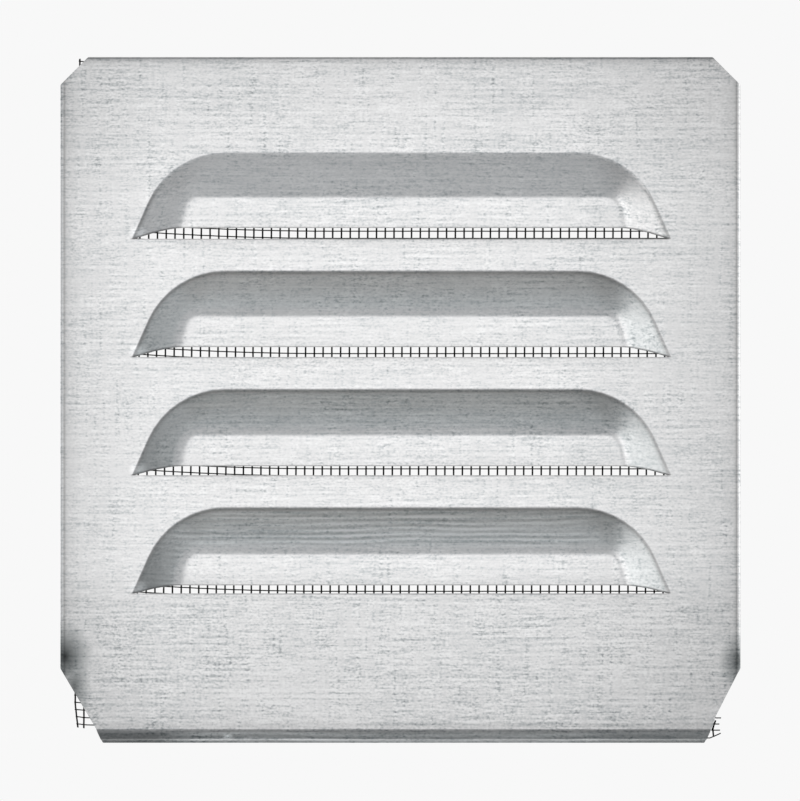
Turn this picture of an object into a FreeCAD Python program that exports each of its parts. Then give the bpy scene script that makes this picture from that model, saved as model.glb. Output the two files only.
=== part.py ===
import FreeCAD, Part
import math
import os

# Louvred sheet metal wall vent: one galvanised sheet, hemmed on four sides over a woven insect mesh,
# with four hoods lanced and pressed outwards. Millimetres. X runs to the right, Z up, and the front
# faces -Y. The backs of the hems lie on the wall, in the plane Y = 0.

# The panel
panel_width = 200.0
panel_height = 201.5
sheet = 0.6

# The hems folded over behind the sheet, and the notches cut across the corners of the blank
hem_width = 9.0
top_notch = 7.4
bottom_notch_height = 21.8
bottom_notch_left = 13.0
bottom_notch_right = 11.2

# The bottom hem turns outwards as a drip lip
lip_angle = 40.0
lip_length = 3.3
lip_bend_radius = 0.6

# The hoods, each measured from the slit where the sheet was lanced
hood_count = 4
hood_pitch = 34.74
lowest_slit = 43.8
slit_width = 158.2
slit_rise = 2.8
hood_height = 25.4
hood_depth = 10.0
hood_slope = 13.1
hood_corner_radius = 25.0
hood_lean = 24.0
crown_bend_radius = 2.0
foot_bend_radius = 1.0

# The woven mesh
wire = 0.3
mesh_pitch_x = 2.58
mesh_pitch_z = 2.12
mesh_side_margin = 4.7
mesh_end_clearance = 0.4
gap_step = 2
opening_columns = 12
opening_bar = 2.0

# Places that follow from the sizes above
mesh_thickness = 2 * wire
stack = 2 * sheet + mesh_thickness
half_stack = stack / 2
front = -stack
left, right = -panel_width / 2, panel_width / 2
bottom, top = -panel_height / 2, panel_height / 2
turn = math.radians(lip_angle)
crease = bottom + half_stack + lip_length * math.cos(turn) + (lip_bend_radius + half_stack) * math.sin(turn)
wall_face_z = top - hem_width / 2
slope_angle = math.atan2(hood_depth, hood_slope)
lean = math.radians(hood_lean)
foot_reach = hood_corner_radius + foot_bend_radius * math.tan(slope_angle / 2)
spill = 5.0


def vector(x, y, z):
    return FreeCAD.Vector(x, y, z)


def prism(points, height):
    """A flat outline with straight sides, extruded along a vector."""
    return Part.Face(Part.makePolygon(points + points[:1])).extrude(height)


def outline_prism(edges, height):
    """A flat outline of lines and arcs, extruded along a vector."""
    return Part.Face(Part.Wire(edges)).extrude(height)


def line(a, b):
    return Part.makeLine(a, b)


def arc(a, middle, b):
    return Part.Arc(a, middle, b).toShape()


def fold_layer(side, origin, inward, along, reach):
    """Half a hem: the outer or inner half of its roll, with the layer that runs inwards from it.

    side is -1 for the front layer and 1 for the back one. reach is measured from the panel's edge."""

    def at(u, y):
        return origin + inward * u + vector(0, y - half_stack, 0)

    inner = half_stack - sheet
    diagonal = math.sqrt(0.5)
    outer_middle = at(half_stack * (1 - diagonal), side * half_stack * diagonal)
    inner_middle = at(half_stack - inner * diagonal, side * inner * diagonal)
    edges = [
        line(at(reach, side * half_stack), at(half_stack, side * half_stack)),
        arc(at(half_stack, side * half_stack), outer_middle, at(0, 0)),
        line(at(0, 0), at(sheet, 0)),
        arc(at(sheet, 0), inner_middle, at(half_stack, side * inner)),
        line(at(half_stack, side * inner), at(reach, side * inner)),
        line(at(reach, side * inner), at(reach, side * half_stack)),
    ]
    return outline_prism(edges, along)


def lip_layer(side, reach):
    """Half the bottom hem: one layer of the drip lip, its half of the roll, and its run up the sheet."""
    centre_y, centre_z = front - lip_bend_radius, crease
    outer = lip_bend_radius + half_stack + side * half_stack
    inner = outer - side * sheet
    roll_inner = half_stack - sheet

    def bend(radius, angle):
        return vector(left, centre_y + radius * math.cos(angle), centre_z - radius * math.sin(angle))

    along_lip = vector(0, -math.sin(turn), -math.cos(turn))
    across_lip = vector(0, math.cos(turn), -math.sin(turn))
    tip = bend(lip_bend_radius + half_stack, turn) + along_lip * lip_length
    diagonal = (across_lip * side + along_lip) * math.sqrt(0.5)
    up = vector(0, 0, reach)
    edges = [
        line(bend(outer, 0) + up, bend(outer, 0)),
        arc(bend(outer, 0), bend(outer, turn / 2), bend(outer, turn)),
        line(bend(outer, turn), bend(outer, turn) + along_lip * lip_length),
        arc(bend(outer, turn) + along_lip * lip_length, tip + diagonal * half_stack, tip + along_lip * half_stack),
        line(tip + along_lip * half_stack, tip + along_lip * roll_inner),
        arc(tip + along_lip * roll_inner, tip + diagonal * roll_inner, bend(inner, turn) + along_lip * lip_length),
        line(bend(inner, turn) + along_lip * lip_length, bend(inner, turn)),
        arc(bend(inner, turn), bend(inner, turn / 2), bend(inner, 0)),
        line(bend(inner, 0), bend(inner, 0) + up),
        line(bend(inner, 0) + up, bend(outer, 0) + up),
    ]
    return outline_prism(edges, vector(panel_width, 0, 0))


def corner_prism(corner, points):
    """A cut through the sheet at one corner, from distances in from the panel's side and end."""
    x, z, side, end = corner
    start = vector(0, front - spill, 0)
    places = [start + vector(x + side * u, 0, z + end * v) for u, v in points]
    return prism(places, vector(0, stack + 2 * spill, 0))


def corners():
    """Each corner's place, the directions inwards from it, and the two legs of its notch."""
    return [
        ((left, top, 1, -1), top_notch, top_notch),
        ((right, top, -1, -1), top_notch, top_notch),
        ((left, bottom, 1, 1), bottom_notch_left, bottom_notch_height),
        ((right, bottom, -1, 1), bottom_notch_right, bottom_notch_height),
    ]


def front_notches():
    cuts = []
    for corner, across, up in corners():
        far_up = up + spill * up / across
        far_across = across + spill * across / up
        cuts.append(corner_prism(corner, [(-spill, far_up), (far_across, -spill), (-spill, -spill)]))
    return cuts


def side_hem_ends():
    """The slanted ends of the left and right hems, which mirror the notches in the fold."""
    cuts = []
    reach = hem_width + spill
    for corner, across, up in corners():
        slope = up / across
        points = [(-spill, up - spill * slope), (reach, up + reach * slope), (reach, -reach), (-spill, -reach)]
        cuts.append(corner_prism(corner, points))
    return cuts


def end_hem_ends():
    """The slanted ends of the top and bottom hems."""
    cuts = []
    reach = crease - bottom + hem_width + spill
    for corner, across, up in corners():
        slope = across / up
        points = [(across - spill * slope, -spill), (across + reach * slope, reach), (-reach, reach), (-reach, -spill)]
        cuts.append(corner_prism(corner, points))
    return cuts


def on_hood(reach, depth):
    """A point of a hood's section: its reach out from the corner's axis, and its depth before the sheet."""
    return vector(reach, front - depth, 0)


def bend_arc(reach, depth, radius, start, end):
    """An arc of the section about a bend's centre, between two angles from the depth direction."""
    places = []
    for angle in (start, (start + end) / 2, end):
        places.append(on_hood(reach + radius * math.sin(angle), depth + radius * math.cos(angle)))
    return arc(*places)


def hood_section():
    """The sheet's section across a hood: the foot bend, the slope, the crown bend and the flat front."""
    crown_reach = hood_corner_radius - hood_slope - crown_bend_radius * math.tan(slope_angle / 2)
    crown_depth = hood_depth - crown_bend_radius
    back = math.pi + slope_angle
    foot_skin = bend_arc(foot_reach, foot_bend_radius, foot_bend_radius, math.pi, back)
    crown_skin = bend_arc(crown_reach, crown_depth, crown_bend_radius, slope_angle, 0)
    crown_inside = bend_arc(crown_reach, crown_depth, crown_bend_radius - sheet, 0, slope_angle)
    foot_inside = bend_arc(foot_reach, foot_bend_radius, foot_bend_radius + sheet, back, math.pi)
    return Part.Face(Part.Wire([
        foot_skin,
        line(foot_skin.Vertexes[1].Point, crown_skin.Vertexes[0].Point),
        crown_skin,
        line(crown_skin.Vertexes[1].Point, on_hood(0, hood_depth)),
        line(on_hood(0, hood_depth), on_hood(0, hood_depth - sheet)),
        line(on_hood(0, hood_depth - sheet), crown_inside.Vertexes[0].Point),
        crown_inside,
        line(crown_inside.Vertexes[1].Point, foot_inside.Vertexes[0].Point),
        foot_inside,
        line(foot_inside.Vertexes[1].Point, foot_skin.Vertexes[0].Point),
    ]))


def window_section():
    """The section of the flat sheet that a hood takes the place of."""
    places = [on_hood(0, 0), on_hood(foot_reach, 0), on_hood(foot_reach, -sheet), on_hood(0, -sheet)]
    return Part.Face(Part.makePolygon(places + places[:1]))


def hood_form(section, inner_depth):
    """A section carried round a hood's outline: up one side, round a corner, along the top and back.

    inner_depth is the front of the flat piece that fills the middle."""
    centre_z = hood_height - hood_corner_radius
    join_z = centre_z + hood_corner_radius * math.sin(lean)
    centre_x = slit_width / 2 - hood_corner_radius * math.cos(lean) - join_z * math.tan(lean)
    centre = vector(centre_x, 0, centre_z)
    run = vector(math.sin(lean), 0, -math.cos(lean)) * hood_height

    placed = section.translated(centre)
    leaning = placed.copy()
    leaning.rotate(centre, vector(0, -1, 0), hood_lean)
    upright = placed.copy()
    upright.rotate(centre, vector(0, -1, 0), 90)
    half = [leaning.extrude(run), leaning.revolve(centre, vector(0, -1, 0), 90 - hood_lean)]
    mirrored = [piece.mirror(vector(0, 0, 0), vector(1, 0, 0)) for piece in half]
    across = upright.extrude(vector(-2 * centre_x, 0, 0))

    y = front - inner_depth
    low_x, low_z = centre_x + run.x, centre_z + run.z
    middle = [vector(centre_x, y, centre_z), vector(low_x, y, low_z)]
    middle += [vector(-low_x, y, low_z), vector(-centre_x, y, centre_z)]
    form = across.fuse(half + mirrored + [prism(middle, vector(0, sheet, 0))])
    return form.removeSplitter().cut(below_slit())


def below_slit():
    """All that lies under the cut plane, which rises outwards from the slit's lower edge."""
    slope = slit_rise / (hood_depth + sheet)
    near, far = front + sheet + spill, front - hood_depth - spill
    low, side = -2 * hood_height, slit_width
    places = [(near, -(spill * slope)), (near, low), (far, low), (far, (hood_depth + sheet + spill) * slope)]
    return prism([vector(-side, y, z) for y, z in places], vector(2 * side, 0, 0))


def louvred_panel():
    """The folded and pressed sheet."""
    sides = [
        (vector(left, 0, crease), vector(1, 0, 0)),
        (vector(right, 0, crease), vector(-1, 0, 0)),
    ]
    up = vector(0, 0, top - half_stack - crease)
    over = vector(panel_width, 0, 0)
    top_left = vector(left, 0, top)
    down = vector(0, 0, -1)

    face = lip_layer(-1, hem_width).fuse([fold_layer(-1, origin, inward, up, panel_width / 2) for origin, inward in sides])
    face = face.fuse(fold_layer(-1, top_left, down, over, hem_width)).cut(front_notches())

    slits = [vector(0, 0, bottom + lowest_slit + i * hood_pitch) for i in range(hood_count)]
    window = hood_form(window_section(), 0)
    hood = hood_form(hood_section(), hood_depth)
    face = face.cut([window.translated(slit) for slit in slits])
    face = face.fuse([hood.translated(slit) for slit in slits])

    side_hems = [fold_layer(1, origin, inward, up, hem_width) for origin, inward in sides]
    side_hems = [hem.cut(side_hem_ends()) for hem in side_hems]
    end_hems = [fold_layer(1, top_left, down, over, hem_width), lip_layer(1, hem_width)]
    end_hems = [hem.cut(end_hem_ends()) for hem in end_hems]
    return face.fuse(side_hems + end_hems).removeSplitter()


def insect_mesh():
    """The woven mesh, as one flat sheet opened in a plain grid, with single gaps along each slit."""
    low_x, high_x = left + mesh_side_margin, right - mesh_side_margin
    low_z, high_z = crease + mesh_end_clearance, top - sheet - mesh_end_clearance
    back = -half_stack - wire

    def block(x, z, width, height):
        return Part.makeBox(width, mesh_thickness, height, vector(x, back, z))

    middles = [bottom + lowest_slit + i * hood_pitch + slit_rise / 2 for i in range(hood_count)]
    edges = [low_z + opening_bar]
    for middle in middles:
        edges += [middle - mesh_pitch_z, middle + mesh_pitch_z]
    edges.append(high_z - opening_bar)

    across = (high_x - low_x - opening_bar) / opening_columns
    holes = []
    for floor, ceiling in zip(edges[::2], edges[1::2]):
        rows = max(1, round((ceiling - floor) / across))
        rise = (ceiling - floor + opening_bar) / rows
        for row in range(rows):
            for column in range(opening_columns):
                x = low_x + opening_bar + column * across
                holes.append(block(x, floor + row * rise, across - opening_bar, rise - opening_bar))

    columns = int((high_x - low_x - wire) / mesh_pitch_x)
    first_x = (low_x + high_x - (columns - 1) * mesh_pitch_x) / 2
    seen = slit_width / 2 - mesh_pitch_x
    for middle in middles:
        for column in range(0, columns - 1, gap_step):
            x = first_x + column * mesh_pitch_x + wire / 2
            if abs(x + mesh_pitch_x / 2) < seen:
                gap_height = mesh_pitch_z - wire
                holes.append(block(x, middle - gap_height / 2, mesh_pitch_x - wire, gap_height))
    return block(low_x, low_z, high_x - low_x, high_z - low_z).cut(holes)


def save(name, shape):
    """Move a finished piece to the part's origin, behind the middle of the top hem, and write it."""
    solid = shape.Solids[0]
    solid.translate(vector(0, 0, -wall_face_z))
    solid.exportStep("parts/" + name + ".step")


os.makedirs("parts", exist_ok=True)
save("louvred_panel", louvred_panel())
save("insect_mesh", insect_mesh())
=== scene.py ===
import math

import bmesh
import bpy
from mathutils import Matrix, Vector


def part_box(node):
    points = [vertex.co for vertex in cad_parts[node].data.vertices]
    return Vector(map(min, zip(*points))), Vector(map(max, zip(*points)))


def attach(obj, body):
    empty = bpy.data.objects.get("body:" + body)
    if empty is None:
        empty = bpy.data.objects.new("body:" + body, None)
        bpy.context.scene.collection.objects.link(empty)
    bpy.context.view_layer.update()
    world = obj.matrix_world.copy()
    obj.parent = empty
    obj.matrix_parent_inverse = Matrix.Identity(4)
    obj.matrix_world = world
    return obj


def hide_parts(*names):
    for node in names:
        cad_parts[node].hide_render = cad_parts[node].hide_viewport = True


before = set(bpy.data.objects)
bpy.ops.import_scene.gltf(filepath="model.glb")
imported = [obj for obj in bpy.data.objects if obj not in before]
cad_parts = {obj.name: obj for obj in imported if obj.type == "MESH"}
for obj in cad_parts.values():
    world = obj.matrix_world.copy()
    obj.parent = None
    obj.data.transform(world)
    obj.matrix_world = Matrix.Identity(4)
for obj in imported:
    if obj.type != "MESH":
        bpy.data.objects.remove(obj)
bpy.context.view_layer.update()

# The louvred panel: one galvanised steel sheet, blanked with notched corners, then lanced and pressed
# outwards into four hoods. Its edges are hemmed back over the mesh, so they are a stack of two sheets
# and the mesh, and the bottom hem is turned out as a drip lip.
mm = 0.001
panel_low, panel_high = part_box("louvred_panel")
panel_middle = (panel_low.z + panel_high.z) / 2
sheet = 0.6 * mm
stack = 1.8 * mm
front = panel_high.y - stack
fold = stack / 2
side = panel_high.x - fold
upper = panel_high.z - fold

# The cut corners, and the steep notches at the bottom, of which the right one has a knee.
corner_cut = 6.5 * mm
notch_top = panel_low.z + 20.3 * mm
notch_steepness = 1.68
right_knee_x, right_knee_z = 92.6 * mm, panel_low.z + 7.6 * mm
low_left, low_right = -89.7 * mm, 91.6 * mm

# The hems, and the lip: its turn in degrees, its bend's radius, its length and how fast it narrows.
hem_width = 9 * mm
hem_taper = 2 * mm
lip_turn = 40
lip_bend = 1.7 * mm
lip_length = 2.5 * mm
lip_taper = 0.55
lip_back = 4 * mm
lip_angle = math.radians(lip_turn)
crease = panel_low.z + fold + lip_length * math.cos(lip_angle) + (lip_bend + fold) * math.sin(lip_angle)

# The hoods. From the foot to the crown their ends lean less and their upper corners are tighter.
lowest_slit = panel_low.z + 43.8 * mm
hood_count = 4
hood_pitch = 34.74 * mm
hood_offset = 0.3 * mm
hood_half_width = 79.4 * mm
hood_rise = 25.7 * mm
hood_depth = front - panel_low.y
foot_radius, crown_radius = 25 * mm, 4 * mm
foot_lean, crown_lean = math.radians(24), math.radians(13)

# A hood's rings from foot to crown, in mm: how far in at the ends, how far down at the top, how deep,
# and how far its ends stand above the slit.
hood_rings = [
    (0.0, 0.0, 0.0, 0.0), (0.5, 0.7, 0.17, 0.1), (1.1, 1.3, 0.62, 0.3), (1.8, 2.0, 1.18, 0.55),
    (6.0, 5.6, 4.2, 1.75), (10.2, 9.9, 7.45, 2.55), (12.0, 11.9, 8.8, 2.75), (13.4, 13.2, 9.55, 2.8),
    (14.8, 13.9, 9.9, 2.8), (16.2, 14.7, 10.0, 2.8),
]
full_depth, slit_height = hood_rings[-1][2:]


def new_chain(made):
    """The fresh vertices of an extrusion, and the edges that join them."""
    verts = [g for g in made["geom"] if isinstance(g, bmesh.types.BMVert)]
    edges = [g for g in made["geom"] if isinstance(g, bmesh.types.BMEdge)]
    return verts, [e for e in edges if e.verts[0] in verts and e.verts[1] in verts]


def run_out(bm, chain, reach, taper=0, along="x"):
    """Extrude a chain of edges by a vector, and draw its two ends in along the chain."""
    verts, edges = new_chain(bmesh.ops.extrude_edge_only(bm, edges=chain))
    bmesh.ops.translate(bm, verts=verts, vec=reach)
    verts.sort(key=lambda v: getattr(v.co, along))
    for end, draw_in in ((verts[0], taper), (verts[-1], -taper)):
        setattr(end.co, along, getattr(end.co, along) + draw_in)
    return edges


def roll_over(bm, chain, centre, axis, degrees, steps=8):
    """Roll a chain of edges round an axis, as a fold or a bend."""
    verts = list(dict.fromkeys(v for e in chain for v in e.verts))
    made = bmesh.ops.spin(bm, geom=chain + verts, cent=centre, axis=axis, angle=math.radians(degrees),
                          steps=steps)
    return [g for g in made["geom_last"] if isinstance(g, bmesh.types.BMEdge)]


def hood_outline(half_width, rise, radius, lean, depth, foot, corner_steps=8):
    """Points of one hood at one depth, from its left end over the top to its right end."""
    slant = math.pi / 2 - lean
    turn_z = rise - radius
    turn_x = half_width - (turn_z + radius * math.cos(slant)) * math.tan(lean) - radius * math.sin(slant)
    left = [Vector((-half_width + foot * math.tan(lean), -depth, foot))]
    for step in range(corner_steps + 1):
        angle = slant * (1 - step / corner_steps)
        left.append(Vector((-turn_x - radius * math.sin(angle), -depth, turn_z + radius * math.cos(angle))))
    return left + [Vector((-p.x, p.y, p.z)) for p in reversed(left)]


def hood_sections():
    """The outlines of a hood from its foot to its crown, about the middle of its slit."""
    for inward, downward, depth, raised in hood_rings:
        share = depth / full_depth
        yield hood_outline(hood_half_width - inward * mm, hood_rise - downward * mm,
                           foot_radius + (crown_radius - foot_radius) * share,
                           foot_lean + (crown_lean - foot_lean) * share, share * hood_depth, raised * mm)


# The blank, with its corners cut and notched, and the hoods drawn up from their lanced outlines.
bm = bmesh.new()
plate = [(-side, notch_top), (-side, upper - corner_cut), (-side + corner_cut, upper),
         (side - corner_cut, upper), (side, upper - corner_cut), (side, notch_top),
         (right_knee_x, right_knee_z), (low_right, crease), (low_left, crease)]
corners = [bm.verts.new((x, front, z)) for x, z in plate]
rim = [bm.edges.new(pair) for pair in zip(corners, corners[1:] + corners[:1])]
holes = []
for hood in range(hood_count):
    slit_middle = Vector((hood_offset, front, lowest_slit + hood * hood_pitch))
    foot, *upper_sections = hood_sections()
    verts = [bm.verts.new(p + slit_middle) for p in foot]
    chain = [bm.edges.new(pair) for pair in zip(verts, verts[1:])]
    holes += chain + [bm.edges.new((verts[-1], verts[0]))]
    for section in upper_sections:
        fresh, chain = new_chain(bmesh.ops.extrude_edge_only(bm, edges=chain))
        above = {e.other_vert(v): v for v in fresh for e in v.link_edges}
        verts = [above[v] for v in verts]
        for v, p in zip(verts, section):
            v.co = p + slit_middle
    bmesh.ops.contextual_create(bm, geom=verts)
bmesh.ops.triangle_fill(bm, edges=rim + holes, use_beauty=True, use_dissolve=False)

# The hems: three edges rolled right over the mesh, and the bottom one bent outwards and rolled behind.
left_edge, _, top_edge, _, right_edge, _, _, bottom_edge, _ = rim
hem_reach = hem_width - fold
hem = roll_over(bm, [top_edge], (0, front + fold, upper), (1, 0, 0), -180)
run_out(bm, hem, (0, 0, -hem_reach), hem_taper)
hem = roll_over(bm, [left_edge], (-side, front + fold, 0), (0, 0, 1), -180)
run_out(bm, hem, (hem_reach, 0, 0), hem_taper, "z")
hem = roll_over(bm, [right_edge], (side, front + fold, 0), (0, 0, 1), 180)
run_out(bm, hem, (-hem_reach, 0, 0), hem_taper, "z")

down_lip = Vector((0, -math.sin(lip_angle), -math.cos(lip_angle))) * lip_length
behind_lip = Vector((0, math.cos(lip_angle), -math.sin(lip_angle)))
bend_centre = Vector((0, front - lip_bend, crease))
roll_centre = bend_centre + behind_lip * (lip_bend + fold) + down_lip
lip = roll_over(bm, [bottom_edge], bend_centre, (1, 0, 0), -lip_turn, steps=4)
lip = run_out(bm, lip, down_lip)
lip = roll_over(bm, lip, roll_centre, (1, 0, 0), 180)
lip = run_out(bm, lip, -down_lip)
lip = roll_over(bm, lip, bend_centre, (1, 0, 0), lip_turn, steps=4)
run_out(bm, lip, (0, 0, lip_back))

# The corner cuts and the notches run on across the folds, and the lip narrows downwards.
for v in bm.verts:
    past_side, past_top, past_crease = abs(v.co.x) - side, v.co.z - upper, crease - v.co.z
    if past_side > 0:
        v.co.z += past_side * (notch_steepness if v.co.z < panel_middle else -1)
    if past_top > 0:
        v.co.x -= math.copysign(past_top, v.co.x)
    if past_crease > 0:
        v.co.x -= math.copysign(lip_taper * past_crease, v.co.x)
bmesh.ops.remove_doubles(bm, verts=bm.verts, dist=0.001 * mm)

# This is the sheet's outer skin. It has to face outwards, because its thickness is added behind it.
bmesh.ops.recalc_face_normals(bm, faces=bm.faces)
widest = max(bm.faces, key=lambda face: face.calc_area())
if widest.normal.y > 0:
    bmesh.ops.reverse_faces(bm, faces=bm.faces)


def new_group(name, inputs, outputs):
    """An empty shader node group with named float or vector sockets."""
    group = bpy.data.node_groups.new(name, "ShaderNodeTree")
    for socket, kind, value in inputs:
        made = group.interface.new_socket(socket, in_out="INPUT", socket_type=kind)
        if value is not None:
            made.default_value = value
    for socket, kind in outputs:
        group.interface.new_socket(socket, in_out="OUTPUT", socket_type=kind)
    return group


def add_node(tree, kind, settings=None, **inputs):
    """A node with its settings made, and its inputs, by name or as _number, set or linked."""
    node = tree.nodes.new(kind)
    for name, value in (settings or {}).items():
        setattr(node, name, value)
    for name, value in inputs.items():
        socket = node.inputs[int(name[1:])] if name[0] == "_" else node.inputs[name.replace("_", " ")]
        if isinstance(value, bpy.types.NodeSocket):
            tree.links.new(value, socket)
        else:
            socket.default_value = value
    return node


def math_node(tree, operation, *values):
    """One step of arithmetic on values or sockets."""
    inputs = {f"_{i}": value for i, value in enumerate(values)}
    return add_node(tree, "ShaderNodeMath", {"operation": operation}, **inputs).outputs[0]


def multiply(tree, first, *others):
    """Values or sockets multiplied together."""
    for other in others:
        first = math_node(tree, "MULTIPLY", first, other)
    return first


def weighted_sum(tree, base, *terms):
    """A base, plus each term's socket times its weight."""
    for socket, weight in terms:
        base = math_node(tree, "MULTIPLY_ADD", socket, weight, base)
    return base


def rescale(tree, value, mask, share):
    """A value made larger by a share, or smaller by a negative one, where a mask is 1."""
    return multiply(tree, value, weighted_sum(tree, 1.0, (mask, share)))


def stretched_noise(tree, place, scale, detail=1.0, seed=0.0):
    """Noise whose grain is set apart along X, Y and Z, per metre."""
    mapping = add_node(tree, "ShaderNodeMapping", Vector=place, Scale=scale, Location=(seed, seed, seed))
    noise = add_node(tree, "ShaderNodeTexNoise", Vector=mapping.outputs[0], Scale=1.0, Detail=detail)
    return noise.outputs[0]


def ripple(tree, height, pitch, waver, sway):
    """Even lines at a pitch up the sheet, put out of line by a slow noise."""
    return math_node(tree, "SINE", weighted_sum(tree, 0.0, (waver, sway), (height, 2 * math.pi / pitch)))


def ramp(tree, value, stops, unit=mm, colour=False):
    """A ramp read in the value's own unit: each stop is a place and its grey or colour."""
    first, last = stops[0][0], stops[-1][0]
    spread = add_node(tree, "ShaderNodeMapRange", Value=value, From_Min=first * unit, From_Max=last * unit)
    node = add_node(tree, "ShaderNodeValToRGB", _0=spread.outputs[0])
    elements = node.color_ramp.elements
    while len(elements) < len(stops):
        elements.new(0.5)
    for element, (place, grey) in zip(elements, stops):
        element.position = (place - first) / (last - first)
        element.color = (*grey, 1) if colour else (grey, grey, grey, 1)
    return node.outputs[0]


# Rolled zinc, as a group that other galvanised pieces can share: fine broken lines along the sheet in a
# slow rhythm, columns of dots across it, patches where the lines are strong, and clouds of dull tone.
rolled_zinc = new_group(
    "rolled_zinc",
    [("Place", "NodeSocketVector", None), ("Lines", "NodeSocketFloat", 1.0),
     ("Cloud", "NodeSocketFloat", 1.0)],
    [("Tone", "NodeSocketFloat"), ("Relief", "NodeSocketFloat"), ("Clouds", "NodeSocketFloat")],
)
zinc_in = rolled_zinc.nodes.new("NodeGroupInput")
zinc_out = rolled_zinc.nodes.new("NodeGroupOutput")
place = zinc_in.outputs["Place"]
up_sheet = add_node(rolled_zinc, "ShaderNodeSeparateXYZ", Vector=place).outputs["Z"]
roller_pitch = 1.82 * mm
long_lines = stretched_noise(rolled_zinc, place, (50, 300, 1550))
short_lines = stretched_noise(rolled_zinc, place, (300, 400, 1800), seed=3.1)
specks = stretched_noise(rolled_zinc, place, (1100, 800, 1700), seed=9.4)
waver = stretched_noise(rolled_zinc, place, (9, 9, 30), seed=5.3)
columns = stretched_noise(rolled_zinc, place, (760, 300, 55), seed=7.7)
patches = stretched_noise(rolled_zinc, place, (70, 90, 110), 2.0, 11.3)
clouds = stretched_noise(rolled_zinc, place, (26, 26, 40), 5.0, 17.9)
rhythm = ripple(rolled_zinc, up_sheet, roller_pitch, waver, 12.0)
dashes = weighted_sum(rolled_zinc, -1.2, (long_lines, 0.55), (short_lines, 0.80), (specks, 1.05),
                      (rhythm, 0.06))
strength = multiply(rolled_zinc, weighted_sum(rolled_zinc, 0.2, (patches, 1.5)),
                    weighted_sum(rolled_zinc, -0.2, (columns, 2.4)))
dots = math_node(rolled_zinc, "MAXIMUM", math_node(rolled_zinc, "SUBTRACT", columns, 0.58), 0.0)
lines = weighted_sum(rolled_zinc, multiply(rolled_zinc, dashes, strength), (dots, -0.5))
lines = multiply(rolled_zinc, lines, zinc_in.outputs["Lines"])
clouding = math_node(rolled_zinc, "SUBTRACT", clouds, 0.5)
grey = weighted_sum(rolled_zinc, lines, (clouding, zinc_in.outputs["Cloud"]))
rolled_zinc.links.new(grey, zinc_out.inputs["Tone"])
rolled_zinc.links.new(lines, zinc_out.inputs["Relief"])
rolled_zinc.links.new(clouds, zinc_out.inputs["Clouds"])

# The sheet's own finish starts from that grain. Where the sheet was drawn up into the slopes of the
# hoods, most of all the lowest two, coarser marks run along it. Places on ramps are in mm.
line_strength = 1.54
draw_strength = 1.5
# A gain on all the painted light and shade below; at the turned edges it gives a painted highlight.
painted_light_gain = 1.5
# How strong the painted shade on each hood's slope is.
slope_shade_strength = 0.2
mark_pitch, mark_depth = 1.68 * mm, 0.19
# How deep the painted shade by the lower notches is.
notch_shade_depth = 0.92
grain_contrast = 0.58
smoothest, cloud_roughness = 0.33, 0.10
zinc = bpy.data.materials.new("galvanised_sheet")
zinc.use_nodes = True
tree = zinc.node_tree
coords = tree.nodes.new("ShaderNodeTexCoord").outputs["Object"]
across, inwards, up = add_node(tree, "ShaderNodeSeparateXYZ", Vector=coords).outputs
off_centre = math_node(tree, "ABSOLUTE", across)
height = math_node(tree, "SUBTRACT", up, panel_middle)
on_slope = ramp(tree, inwards, [(-11.8, 0.0), (-11.0, 0.0), (-9.6, 1.0), (-2.8, 1.0), (-2.0, 0.0),
                                (0, 0.0)])
drawn = multiply(
    tree, on_slope,
    ramp(tree, height, [(-60, 1.0), (-31, 1.0), (-25, 0.4), (5, 0.3), (10, 0.1), (60, 0.0)]),
    ramp(tree, across, [(-72, 0.2), (-58, 1.0), (50, 1.0), (60, 0.0)]),
)
calm = multiply(tree, on_slope, ramp(tree, height, [(50, 0.0), (56, 0.4), (100, 0.4)]))
line_gain = multiply(
    tree, math_node(tree, "SUBTRACT", line_strength, calm),
    ramp(tree, height, [(-100, 1.0), (-62, 0.98), (-54, 0.72), (58, 0.72), (68, 0.82), (100, 0.84)]),
)
cloud_gain = ramp(tree, height, [(-100, 0.85), (-62, 0.80), (-52, 0.46), (58, 0.46), (72, 0.62),
                                 (100, 0.70)])
grain = add_node(tree, "ShaderNodeGroup", {"node_tree": rolled_zinc}, Place=coords, Lines=line_gain,
                 Cloud=cloud_gain)
draw_marks = math_node(tree, "SUBTRACT", stretched_noise(tree, coords, (26, 60, 1250), seed=23.1), 0.48)
tone = weighted_sum(tree, grain.outputs["Tone"], (draw_marks, multiply(tree, drawn, draw_strength)))

# The zinc gets painted shade along its side edges and the lip, in the crease round each hood's foot, on the
# hoods' left ends, near the top, and to both sides, most to the right. The turned edges, and a line along
# the bend of the lip, get a painted highlight.
# Painted shade and highlight at the side edges: a dark line on the hem's rounding, a highlight on the turn.
edge_painted_light = ramp(tree, off_centre, [(94, 0.66), (97.2, 0.62), (98.1, 0.58), (98.6, 0.46), (98.85, 0.35),
                                    (99.1, 0.56), (99.4, 0.92), (100, 1.0)])
# Painted shade towards both sides, most to the right.
side_painted_shade = ramp(tree, across, [(-100, 0.78), (-93, 0.86), (-80, 0.94), (-70, 1.0), (0, 1.0), (45, 0.97),
                                (72, 0.86), (100, 0.72)])
# Painted shade towards the top and bottom and on the lip, with a painted highlight along the lip's bend.
height_painted_light = ramp(tree, height, [
    (-101, 0.66), (-100.6, 0.66), (-100.25, 0.59), (-99.9, 0.52), (-99.0, 0.54), (-98.2, 0.60),
    (-97.85, 0.80), (-97.65, 1.12), (-97.35, 1.30), (-97.06, 1.0), (-96.76, 0.67), (-96.44, 0.64),
    (-96.1, 0.66), (-95.5, 0.69), (-94.8, 0.755), (-92, 0.80), (-60, 0.89), (-50, 1.0), (58, 1.0),
    (80, 0.90), (96, 0.83), (98.5, 0.76), (99.8, 0.6), (100.8, 0.6),
])
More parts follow.
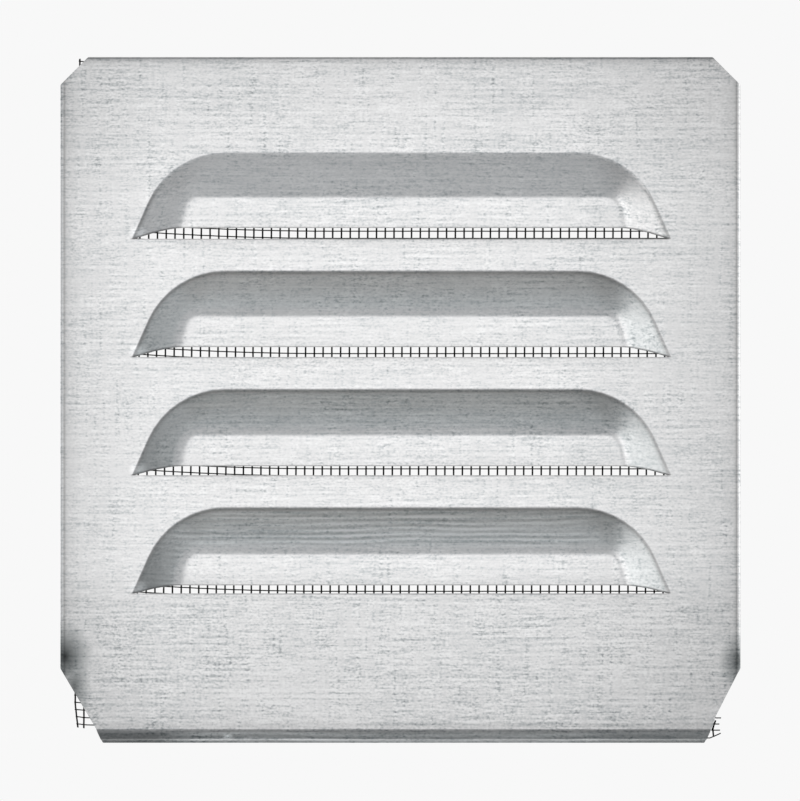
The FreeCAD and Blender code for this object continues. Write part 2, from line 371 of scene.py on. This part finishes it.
# Painted shade in the crease round the foot of the hoods, though not high on the top one.
foot_painted_shade = math_node(
    tree, "MAXIMUM", ramp(tree, height, [(52, 0.0), (64, 1.0)]),
    ramp(tree, inwards, [(-3.4, 1.0), (-2.7, 0.84), (-2.2, 0.54), (-1.95, 0.58), (-1.82, 0.95),
                         (-1.8, 1.0)]),
)
# Painted shade on the hoods' left ends, deepest on the lowest hood.
left_end_painted_shade = multiply(
    tree, on_slope, ramp(tree, across, [(-72, 1.0), (-60, 0.0)]),
    ramp(tree, height, [(-60, 0.46), (-20, 0.31), (20, 0.13), (60, 0.03)]),
)
painted_light_and_marks = multiply(tree, painted_light_gain, edge_painted_light, side_painted_shade, height_painted_light,
                rescale(tree, foot_painted_shade, left_end_painted_shade, -1.0))

# Each hood's slope gets a painted shade of its own, with the right ends painted darker, and the lowest
# hoods, drawn hardest, have fine light marks.
by_height = ramp(tree, height, [(-34, 0.5), (-24, 0.27), (8, 0.27), (12, 0.5), (50, 0.5), (56, 0.67),
                                (80, 0.67)])
right_end = ramp(tree, across, [(56, 0.0), (64, 0.55)])
slope_painted_shade = weighted_sum(tree, -0.5, (by_height, 1.0), (right_end, -1.0))
painted_light_and_marks = rescale(tree, painted_light_and_marks, multiply(tree, slope_painted_shade, on_slope), slope_shade_strength)
sway = stretched_noise(tree, coords, (22, 22, 60), seed=31.7)
gusts = stretched_noise(tree, coords, (40, 60, 260), seed=41.3)
mark_strength = ramp(tree, gusts, [(0.3, 0.25), (0.6, 1.0)], unit=1)
marks = multiply(tree, ripple(tree, up, mark_pitch, sway, 14.0), mark_strength, drawn)
painted_light_and_marks = rescale(tree, painted_light_and_marks, marks, mark_depth)

# Painted shade lines the rims of each slit: the plate's, and the hood's where it rises with the hood's
# depth.
above_lowest = math_node(tree, "SUBTRACT", up, lowest_slit - mm)
in_slits = math_node(tree, "LESS_THAN", above_lowest, (hood_count - 0.5) * hood_pitch)
above_slit = math_node(tree, "SUBTRACT", math_node(tree, "MODULO", above_lowest, hood_pitch), mm)
rim_rise = ramp(tree, math_node(tree, "SUBTRACT", front, inwards),
                [(depth, raised / slit_height) for _, _, depth, raised in hood_rings])
above_rim = weighted_sum(tree, above_slit, (rim_rise, -slit_height * mm))
rim_painted_shade = multiply(
    tree, in_slits, ramp(tree, off_centre, [(0, 1.0), (78.6, 1.0), (79.6, 0.0)]),
    ramp(tree, above_rim, [(-0.45, 0.0), (-0.26, 0.32), (-0.04, 0.34), (0.0, 0.48), (0.22, 0.42),
                           (0.42, 0.0)]),
)
painted_light_and_marks = rescale(tree, painted_light_and_marks, rim_painted_shade, -1.0)


def spot(tree, coords, middle, radii, level=panel_middle):
    """A soft oval mark, 1 at its middle and 0 at its radii, in mm from the sheet's face and a level."""
    x, y, z = (distance * mm for distance in middle)
    place = add_node(tree, "ShaderNodeMapping", {"vector_type": "TEXTURE"}, Vector=coords,
                     Location=(x, front + y, level + z), Scale=[radius * mm for radius in radii])
    oval = add_node(tree, "ShaderNodeTexGradient", {"gradient_type": "SPHERICAL"}, Vector=place.outputs[0])
    return oval.outputs[1]


# Painted shade by the two lower notches, a painted highlight at the left corner of each hood's foot, and a
# small painted highlight on the lip.
left_notch_painted_shade = spot(tree, coords, (-98.5, 0, -75.5), (8.5, 10, 10.5))
right_notch_painted_shade = spot(tree, coords, (99.3, 0, -76.8), (5.8, 10, 8.8))
inner_notch_painted_shade = spot(tree, coords, (-95.8, 0, -84.5), (5.2, 10, 11.0))
notch_painted_shade = math_node(tree, "MAXIMUM", left_notch_painted_shade, multiply(tree, inner_notch_painted_shade, 0.8))
notch_painted_shade = math_node(tree, "MAXIMUM", notch_painted_shade, multiply(tree, right_notch_painted_shade, 0.85))
painted_light_and_marks = rescale(tree, painted_light_and_marks, notch_painted_shade, -notch_shade_depth)
in_hood = add_node(tree, "ShaderNodeCombineXYZ", X=across, Y=inwards, Z=above_slit).outputs[0]
# A painted highlight at the left corner of each hood's foot, and one on the lip.
painted_corner_highlight = multiply(tree, in_slits, spot(tree, in_hood, (-76.8, -1.0, 1.6), (3.4, 4, 2.6), level=0))
painted_lip_highlight = spot(tree, coords, (-50.7, -1.2, -98.8), (1.7, 10, 0.8))
painted_light_and_marks = weighted_sum(tree, painted_light_and_marks, (painted_corner_highlight, 0.5), (painted_lip_highlight, 0.8))

# The grain gives the zinc its greys, the painted light and shade and the marks darken and lighten them, and
# the low hoods and the painted shade by the notches look colder.
tint = ramp(tree, weighted_sum(tree, 0.5, (tone, grain_contrast)), [
    (0.0, (0.37, 0.385, 0.39)), (0.35, (0.675, 0.682, 0.682)),
    (0.5, (0.818, 0.805, 0.798)), (0.75, (0.954, 0.94, 0.931)),
], unit=1, colour=True)
low_hoods = multiply(tree, on_slope, ramp(tree, height, [(44, 0.42), (50, 0.0)]))
cold = ramp(tree, math_node(tree, "MAXIMUM", low_hoods, notch_painted_shade),
            [(0.0, (1.0, 1.0, 1.0)), (1.0, (0.93, 0.995, 1.0))], unit=1, colour=True)
shade = tint
for layer in (painted_light_and_marks, cold):
    mix = add_node(tree, "ShaderNodeMix", {"data_type": "RGBA", "blend_type": "MULTIPLY"},
                   _0=1.0, _6=shade, _7=layer)
    shade = mix.outputs[2]
bump = add_node(tree, "ShaderNodeBump", Height=grain.outputs["Relief"], Strength=0.12, Distance=0.1 * mm)
shader = tree.nodes["Principled BSDF"]
shader.inputs["Metallic"].default_value = 1.0
tree.links.new(shade, shader.inputs["Base Color"])
roughness = weighted_sum(tree, smoothest, (grain.outputs["Clouds"], cloud_roughness))
tree.links.new(roughness, shader.inputs["Roughness"])
tree.links.new(bump.outputs[0], shader.inputs["Normal"])


def finish_piece(name, bm, material, node):
    """Make the piece from its mesh, give it its finish, and let it stand for its CAD node."""
    mesh = bpy.data.meshes.new(name)
    bm.to_mesh(mesh)
    bm.free()
    mesh.shade_smooth()
    piece = bpy.data.objects.new(name, mesh)
    bpy.context.scene.collection.objects.link(piece)
    piece.data.materials.append(material)
    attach(piece, "root")
    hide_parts(node)
    return piece


panel = finish_piece("pressed_panel", bm, zinc, "louvred_panel")
thickness = panel.modifiers.new("thickness", "SOLIDIFY")
thickness.thickness = sheet
thickness.offset = -1
thickness.use_even_offset = True
soft = panel.modifiers.new("soft", "WEIGHTED_NORMAL")
soft.keep_sharp = True


# The insect mesh: dark steel wire in a plain weave, with uprights a little thicker than the cross wires.
# It lies between the sheet and its hems. It was laid in slightly askew, so its uprights lean, its
# cross wires climb to the left, and it shows at the notches, which bend its outer uprights.
upright_wire = 0.50 * mm
cross_wire = 0.34 * mm
upright_pitch = 2.576 * mm
cross_pitch = 2.118 * mm
upright_count = 74
cross_count = 95
cross_length = (upright_count - 0.75) * upright_pitch
first_upright = -94.96 * mm
top_cross = panel_middle + 100.37 * mm
mesh_lean = 0.0072
climb_start, climb = -20 * mm, 0.6
reach_up, reach_down, corner_trim = 0.4 * mm, 0.9 * mm, 7 * mm
mesh_low, mesh_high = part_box("insect_mesh")
mesh_depth = (mesh_low.y + mesh_high.y) / 2

# Wires bent at the notches, in mm from the panel's middle: those between two places across bend by a
# share of how far they are below a height.
notch_bends = [(-100, -93.5, -92.9, 0.12), (-91.5, -88.5, -92.9, 0.8), (91.0, 100, -93.5, -0.8)]
loose_cross_wires = [
    ((92.6, -93.6), (94.3, -93.6)), ((92.0, -95.4), (93.8, -95.4)), ((92.0, -97.2), (94.0, -97.2)),
    ((89.5, -99.5), (91.0, -99.5)), ((91.0, -99.5), (92.2, -99.0)), ((92.2, -99.0), (94.2, -98.1)),
]
loose_uprights = [
    ((92.7, -94.3), (91.6, -97.4)), ((92.3, -95.2), (91.8, -97.3)), ((91.9, -97.1), (92.1, -99.2)),
]


def wire_bundle(count, pitch, length, width, crossings):
    """Straight wires up Z, side by side, with a ring of edges at each crossing and halfway between."""
    bm = bmesh.new()
    bmesh.ops.create_cone(bm, cap_ends=True, segments=4, radius1=width / 2, radius2=width / 2, depth=length)
    runs = [e for e in bm.edges if abs(e.verts[0].co.z - e.verts[1].co.z) > length / 2]
    bmesh.ops.subdivide_edges(bm, edges=runs, cuts=2 * crossings - 1)
    first = list(bm.verts) + list(bm.edges) + list(bm.faces)
    for i in range(1, count):
        made = bmesh.ops.duplicate(bm, geom=first)
        verts = [g for g in made["geom"] if isinstance(g, bmesh.types.BMVert)]
        bmesh.ops.translate(bm, verts=verts, vec=(i * pitch, 0, 0))
    return bm


def weave(bm, wave, upright):
    """Bend the wires over and under each other, then lean and lift the cloth into its place."""
    for v in bm.verts:
        column, row = v.co.x / upright_pitch, v.co.z / cross_pitch
        along, across = (row, column) if upright else (column, row)
        v.co.y += wave * math.cos(math.pi * along) * (1 if round(across) % 2 == 0 else -1)
        v.co.x += first_upright
        v.co.z += top_cross
        height = v.co.z - panel_middle
        v.co.z += climb * max(0.0, climb_start - v.co.x) ** 2
        v.co.x += mesh_lean * height
        for left, right, below, share in notch_bends:
            if left * mm < v.co.x < right * mm and height < below * mm:
                v.co.x += share * (below * mm - height)
                break
        v.co.y += mesh_depth


def trim(bm, point, normal):
    """Cut the cloth along a plane, keep the side the normal turns away from, and close the wires' ends."""
    everything = list(bm.verts) + list(bm.edges) + list(bm.faces)
    made = bmesh.ops.bisect_plane(bm, geom=everything, plane_co=point, plane_no=normal, clear_outer=True)
    bmesh.ops.edgeloop_fill(bm, edges=[g for g in made["geom_cut"] if isinstance(g, bmesh.types.BMEdge)])


def loose_wire(bm, start, end, width):
    """A short straight length of wire."""
    start, end = (Vector((x * mm, mesh_depth, panel_middle + z * mm)) for x, z in (start, end))
    turn = (end - start).to_track_quat("Z", "Y").to_matrix().to_4x4()
    bmesh.ops.create_cone(bm, cap_ends=True, segments=8, radius1=width / 2, radius2=width / 2,
                          depth=(end - start).length, matrix=Matrix.Translation((start + end) / 2) @ turn)


dark_wire = bpy.data.materials.new("dark_wire")
dark_wire.use_nodes = True
tree = dark_wire.node_tree
coords = tree.nodes.new("ShaderNodeTexCoord").outputs["Object"]
dust = ramp(tree, stretched_noise(tree, coords, (400, 400, 400), 2.0),
            [(0.3, (0.003, 0.003, 0.003)), (0.75, (0.018, 0.018, 0.017))], unit=1, colour=True)
shader = tree.nodes["Principled BSDF"]
tree.links.new(dust, shader.inputs["Base Color"])
shader.inputs["Roughness"].default_value = 0.55
shader.inputs["Specular IOR Level"].default_value = 0.12

uprights = wire_bundle(upright_count, upright_pitch, cross_count * cross_pitch, upright_wire, cross_count)
bmesh.ops.translate(uprights, verts=uprights.verts, vec=(0, 0, -(cross_count - 1) * cross_pitch / 2))
weave(uprights, cross_wire / 2, True)
crossers = wire_bundle(cross_count, cross_pitch, cross_length, cross_wire, upright_count)
bmesh.ops.rotate(crossers, verts=crossers.verts, cent=(0, 0, 0),
                 matrix=Matrix.Rotation(math.radians(90), 3, "Y"))
bmesh.ops.translate(crossers, verts=crossers.verts, vec=((upright_count - 1) * upright_pitch / 2, 0, 0))
weave(crossers, -upright_wire / 2, False)

# The cloth is cut inside the top fold and the lip's bend, and across its upper right corner.
for cloth in (uprights, crossers):
    trim(cloth, (0, 0, upper + reach_up), (0, 0, 1))
    trim(cloth, (0, 0, crease - reach_down), (0, 0, -1))
    trim(cloth, (side - corner_trim, 0, upper), (1, 0, 1))
for start, end in loose_cross_wires:
    loose_wire(crossers, start, end, cross_wire)
for start, end in loose_uprights:
    loose_wire(uprights, start, end, upright_wire)
finish_piece("mesh_uprights", uprights, dark_wire, "insect_mesh")
finish_piece("mesh_cross_wires", crossers, dark_wire, "insect_mesh")


# The studio: a pale floor and a white backdrop behind the panel, a broad soft light before it,
# a bright one to the right, and a dim grey all round that the hoods' slopes turn to.
def plain_material(name, grey, roughness):
    """A material of one grey, and its shader."""
    material = bpy.data.materials.new(name)
    material.use_nodes = True
    shader = material.node_tree.nodes["Principled BSDF"]
    shader.inputs["Base Color"].default_value = (grey, grey, grey, 1)
    shader.inputs["Roughness"].default_value = roughness
    return material, shader


def stage_plane(name, size, place, turn, material):
    """A square of the stage, turned up from the ground by an angle."""
    bm = bmesh.new()
    bmesh.ops.create_grid(bm, x_segments=1, y_segments=1, size=size / 2)
    bmesh.ops.rotate(bm, verts=bm.verts, cent=(0, 0, 0), matrix=Matrix.Rotation(turn, 3, "X"))
    bmesh.ops.translate(bm, verts=bm.verts, vec=place)
    mesh = bpy.data.meshes.new(name)
    bm.to_mesh(mesh)
    bm.free()
    plane = bpy.data.objects.new(name, mesh)
    bpy.context.scene.collection.objects.link(plane)
    plane.data.materials.append(material)


def soft_box(name, place, aim, width, height, power):
    """A rectangular lamp that the camera doesn't see."""
    lamp = bpy.data.lights.new(name, "AREA")
    lamp.shape = "RECTANGLE"
    lamp.size, lamp.size_y, lamp.energy = width, height, power
    light = bpy.data.objects.new(name, lamp)
    bpy.context.scene.collection.objects.link(light)
    light.location = place
    light.visible_camera = False
    light.rotation_euler = (aim - place).to_track_quat("-Z", "Y").to_euler()


# The backdrop glows evenly where it is seen or mirrored, and is plain white to the light that it returns.
backdrop_white, shader = plain_material("backdrop_white", 0.8, 0.9)
tree = backdrop_white.node_tree
rays = tree.nodes.new("ShaderNodeLightPath")
seen = math_node(tree, "MAXIMUM", rays.outputs["Is Camera Ray"], rays.outputs["Is Glossy Ray"])
seen = math_node(tree, "MAXIMUM", seen, rays.outputs["Is Transmission Ray"])
glow = add_node(tree, "ShaderNodeEmission", Color=(0.939, 0.939, 0.939, 1), Strength=1.0)
mix = add_node(tree, "ShaderNodeMixShader", _0=seen, _1=shader.outputs[0], _2=glow.outputs[0])
tree.links.new(mix.outputs[0], tree.nodes["Material Output"].inputs["Surface"])
pale_floor, _ = plain_material("pale_floor", 0.85, 0.8)

centre = Vector((0, panel_low.y, panel_middle))
stage_plane("backdrop", 16.0, centre + Vector((0, 3.5, 0)), math.radians(90), backdrop_white)
stage_plane("floor", 14.0, centre + Vector((0, 0, -0.9)), 0, pale_floor)
soft_box("front_light", centre + Vector((0.3, -2.6, 0.3)), centre, width=3.4, height=2.4, power=17.8)
soft_box("right_light", centre + Vector((2.2, -0.4, 0.75)), centre + Vector((0, -0.4, 0.75)),
         width=2.2, height=2.8, power=20)

world = bpy.data.worlds.new("studio")
bpy.context.scene.world = world
world.use_nodes = True
surroundings = world.node_tree.nodes["Background"]
surroundings.inputs["Color"].default_value = (0.482, 0.502, 0.517, 1)
surroundings.inputs["Strength"].default_value = 1.0

camera_distance = 1.27
view_width = 0.2354
camera = bpy.data.cameras.new("camera")
camera.lens = camera.sensor_width * camera_distance / view_width
camera.clip_end = 20
viewer = bpy.data.objects.new("camera", camera)
bpy.context.scene.collection.objects.link(viewer)
viewer.location = (-0.12 * mm, front - camera_distance, panel_middle - 0.25 * mm)
viewer.rotation_euler = (math.radians(90), 0, 0)
bpy.context.scene.camera = viewer
bpy.context.scene.view_settings.view_transform = "Standard"
